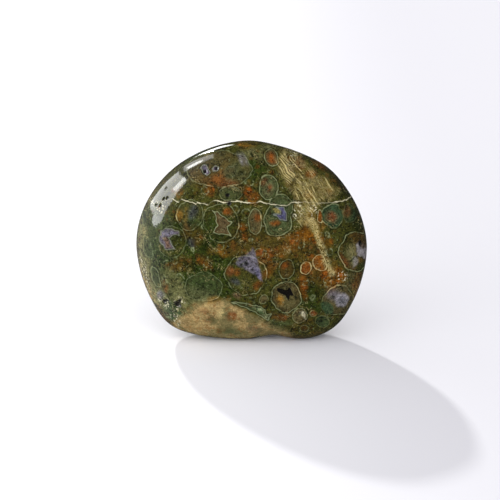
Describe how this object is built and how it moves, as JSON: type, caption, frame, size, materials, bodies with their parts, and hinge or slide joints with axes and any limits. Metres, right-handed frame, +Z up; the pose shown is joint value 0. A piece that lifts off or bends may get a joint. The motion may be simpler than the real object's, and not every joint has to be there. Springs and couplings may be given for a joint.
{
  "type": "rhyolite",
  "caption": "Polished orbicular rhyolite palm stone: a flat rounded pebble that stands on the worn flat of its rim.",
  "frame": {"origin": "middle of the bounding box's base, on the surface that the stone stands on", "axes": "+Z up, +X across the stone's face towards its narrower end, +Y through its thickness from the face with the star pocket to the other face"},
  "size_m": [0.0462, 0.0184, 0.0406],
  "materials": {
    "polished_rhyolite": "polished mottled green and rust stone with orbs and a pale vein"
  },
  "bodies": {
    "root": {"stone": "polished_rhyolite"}
  },
  "joints": []
}
